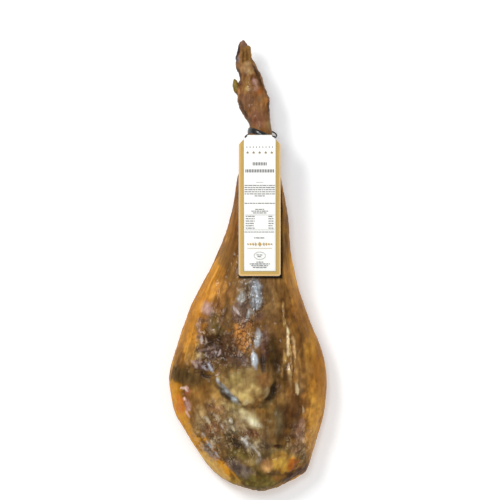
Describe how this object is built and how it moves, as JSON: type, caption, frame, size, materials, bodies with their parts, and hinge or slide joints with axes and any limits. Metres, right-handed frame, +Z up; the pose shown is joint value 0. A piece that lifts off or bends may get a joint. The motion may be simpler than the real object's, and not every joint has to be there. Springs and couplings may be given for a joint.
{
  "type": "cured ham",
  "caption": "Whole bone-in cured ham with its trotter, lying lean face up, with a black hanging strap round the ankle and a long card label tied on by a cord.",
  "frame": {"origin": "on the surface it rests on, under the middle of the whole object's bounding box", "axes": "+Y along the leg towards the hoof, +Z up out of the lean face, +X across the leg to the right"},
  "size_m": [0.286, 0.8038, 0.1182],
  "materials": {
    "cured_meat": "satin",
    "strap_plastic": "gloss",
    "cord_fibre": "matte",
    "printed_card": "satin"
  },
  "bodies": {
    "root": {"ham": "cured_meat", "hanging_strap": "strap_plastic", "label_cord": "cord_fibre", "label_card": "printed_card"}
  },
  "joints": []
}
